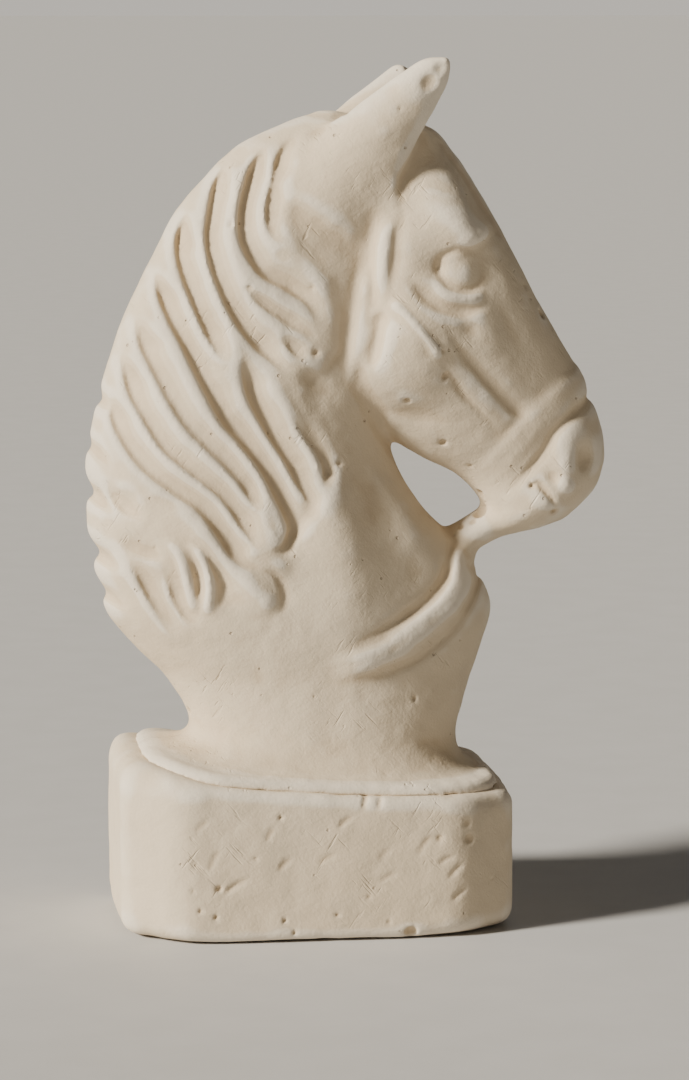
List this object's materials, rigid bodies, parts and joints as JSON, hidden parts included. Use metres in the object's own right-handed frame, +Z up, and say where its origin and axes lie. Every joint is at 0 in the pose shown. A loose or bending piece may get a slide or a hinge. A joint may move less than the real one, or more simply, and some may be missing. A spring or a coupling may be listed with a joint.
{
  "type": "giant chess knight",
  "caption": "Giant chess knight: a plaster horse's head with bridle and combed mane, on a block plinth with cut corners.",
  "frame": {"origin": "under the middle of the plinth, on the surface that the piece stands on", "axes": "+Z up, +X the way the horse looks, Y = 0 is the plane where the near and far shells meet"},
  "size_m": [0.274, 0.136, 0.4515],
  "materials": {
    "cast_plaster": "matt, unpainted",
    "bonding_plaster": "rough",
    "mild_steel": "rolled",
    "zinc_steel": "zinc plated",
    "tie_wire": "galvanised",
    "hardwood": "turned",
    "brown_felt": "felt"
  },
  "bodies": {
    "root": {"plinth_block": "cast_plaster", "near_shell": "cast_plaster", "far_shell": "cast_plaster", "neck_wad": "bonding_plaster", "crest_wad": "bonding_plaster", "poll_wad": "bonding_plaster", "muzzle_wad": "bonding_plaster", "mast": "mild_steel", "muzzle_arm": "mild_steel", "cross_pins": "mild_steel", "upper_washer": "zinc_steel", "upper_nut": "zinc_steel", "lower_washer": "zinc_steel", "lower_nut": "zinc_steel", "lashings": "tie_wire", "ear_armatures": "tie_wire", "chin_wire": "tie_wire", "locating_dowels": "hardwood", "base_felt": "brown_felt"}
  },
  "joints": []
}
